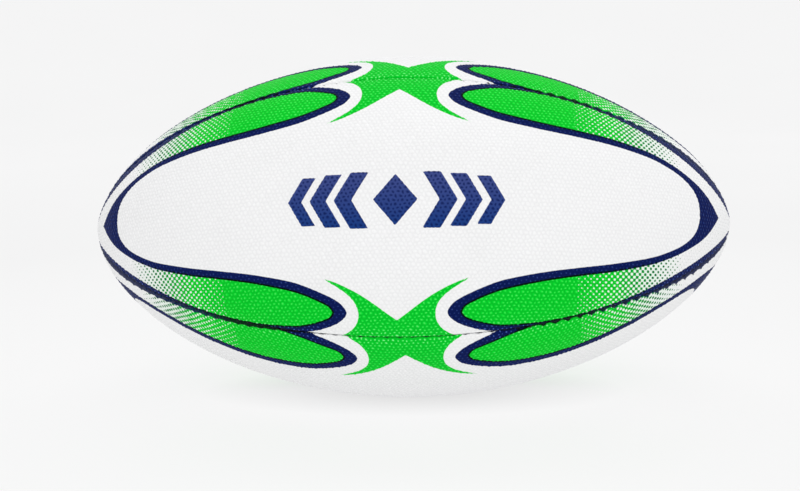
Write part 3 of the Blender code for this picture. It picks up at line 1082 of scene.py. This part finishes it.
def build_thread(side, next_side, material):
    """The thread of the seam between two panels."""
    angle = centre_angle(side) + PANEL_SPAN / 2
    reach = along_at(tip_share())
    count = int(2 * reach / THREAD_STEP)
    along = np.linspace(-reach, reach, count)
    scale = edge_scale(radius_at(along) * PANEL_SPAN / 2)
    line = thread_line(along, scale, angle)
    turns = np.arange(THREAD_SIDES) / THREAD_SIDES * 2 * math.pi
    points = tube_points(line, THREAD_RADIUS * np.maximum(scale, THREAD_LEAST), angle, turns)
    loops, closed = closed_loops(count, THREAD_SIDES)
    faces = grid_quads(list(closed)).tolist()
    faces += [loops[0][::-1].tolist(), loops[-1].tolist()]
    name = f"stitching_{side}_{next_side}"
    mesh = bpy.data.meshes.new(name)
    mesh.from_pydata(points.tolist(), [], faces)
    mesh.shade_smooth()
    store(mesh, "along_mm", np.repeat(along / MM, THREAD_SIDES))
    store(mesh, "turn", np.tile(turns, count))
    thread = add_object(name, mesh, material)
    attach(thread, "root")
    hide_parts(f"thread_{side}_{next_side}")


def dress_cad_nodes():
    """Materials for the CAD pieces that stay: linings, bladder and the valve's parts."""
    lining = cloth_material("lining_weave", *LINING_CLOTH)
    chosen = {"lining_" + side: lining for side in SIDES}
    chosen["valve_patch"] = cloth_material("patch_weave", *PATCH_CLOTH)
    for name, rubber in RUBBERS.items():
        chosen[name] = rubber_material(*rubber)
    for name, material in chosen.items():
        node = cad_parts[name]
        for place in node.material_slots:
            place.material = material


# ---------------------------------------------------------------- stage, lights and camera

FLOOR_MIDDLE = 0.3  # radius of the single flat face under the ball
FLOOR_RADIUS = 1.8
SWEEP_RADIUS = 1.2
SWEEP_STEPS = 12
WALL_TOP = 2.4
STAGE_SIDES = 96

WORLD_STRENGTH = 0.50
# Name, place, size in metres, power in watts, and what the lamp faces
LIGHTS = (
    ("overhead", (0.1, -0.25, 1.3), (0.8, 0.6), 1.9, (0, 0, 0)),
    ("front_fill", (0.2, -1.3, 0.75), (3.2, 0.8), 8.7, (0, 0, 0)),
    ("backdrop", (0.0, 1.0, 2.2), (4.0, 1.0), 40.0, (0, 2.6, 0.1)),
)

CAMERA_DISTANCE = 0.4456
CAMERA_YAW = math.radians(3.64)
CAMERA_RISE = math.radians(8.46)
CAMERA_ROLL = math.radians(-1.33)
CAMERA_AIM = (-3.53 * MM, -7.46 * MM)  # right and up from the ball's centre
CAMERA_LENS = 48.6  # millimetres, as is the sensor
CAMERA_SENSOR = 36.0


def build_stage():
    """A pale round floor that sweeps up into a wall far from the ball."""
    low = -MIDDLE_RADIUS
    sweep = np.linspace(0, math.pi / 2, SWEEP_STEPS + 1)
    out = FLOOR_RADIUS + SWEEP_RADIUS * np.sin(sweep)
    up = low + SWEEP_RADIUS * (1 - np.cos(sweep))
    line = [(FLOOR_MIDDLE, low), *zip(out, up), (out[-1], low + WALL_TOP)]
    turns = np.arange(STAGE_SIDES) / STAGE_SIDES * 2 * math.pi
    points = [(r * math.cos(turn), r * math.sin(turn), z) for r, z in line for turn in turns]
    loops, closed = closed_loops(len(line), STAGE_SIDES)
    faces = [loops[0].tolist()] + grid_quads(list(closed)).tolist()
    mesh = bpy.data.meshes.new("studio_floor")
    mesh.from_pydata(points, [], faces)
    mesh.shade_smooth()
    add_object("studio_floor", mesh, floor_material())


def area_light(name, place, size, power, target):
    data = bpy.data.lights.new(name, "AREA")
    data.shape = "RECTANGLE"
    data.size, data.size_y = size
    data.energy = power
    light = bpy.data.objects.new(name, data)
    bpy.context.scene.collection.objects.link(light)
    light.location = place
    light.rotation_mode = "QUATERNION"
    light.rotation_quaternion = (Vector(target) - Vector(place)).to_track_quat("-Z", "Y")
    light.visible_camera = False


def build_lights():
    world = bpy.data.worlds.new("studio")
    world.use_nodes = True
    background = world.node_tree.nodes["Background"]
    background.inputs["Color"].default_value = (1.0, 1.0, 1.0, 1.0)
    background.inputs["Strength"].default_value = WORLD_STRENGTH
    bpy.context.scene.world = world
    for light in LIGHTS:
        area_light(*light)


def build_camera():
    data = bpy.data.cameras.new("camera")
    data.lens = CAMERA_LENS
    data.sensor_width = CAMERA_SENSOR
    data.clip_start = 0.01
    camera = bpy.data.objects.new("camera", data)
    bpy.context.scene.collection.objects.link(camera)
    level = math.cos(CAMERA_RISE)
    direction = Vector(
        (math.sin(CAMERA_YAW) * level, -math.cos(CAMERA_YAW) * level, math.sin(CAMERA_RISE))
    )
    facing = (-direction).to_track_quat("-Z", "Y").to_matrix()
    aim = facing.col[0] * CAMERA_AIM[0] + facing.col[1] * CAMERA_AIM[1]
    place = direction * CAMERA_DISTANCE
    turned = (aim - place).to_track_quat("-Z", "Y").to_matrix()
    turned = turned @ Matrix.Rotation(CAMERA_ROLL, 3, "Z")
    camera.matrix_world = Matrix.Translation(place) @ turned.to_4x4()
    bpy.context.scene.camera = camera


build_camera()
build_panels()
thread = thread_material()
for here, there in zip(SIDES, SIDES[1:] + SIDES[:1]):
    build_thread(here, there, thread)
dress_cad_nodes()
build_stage()
build_lights()
bpy.context.scene.view_settings.view_transform = "Standard"
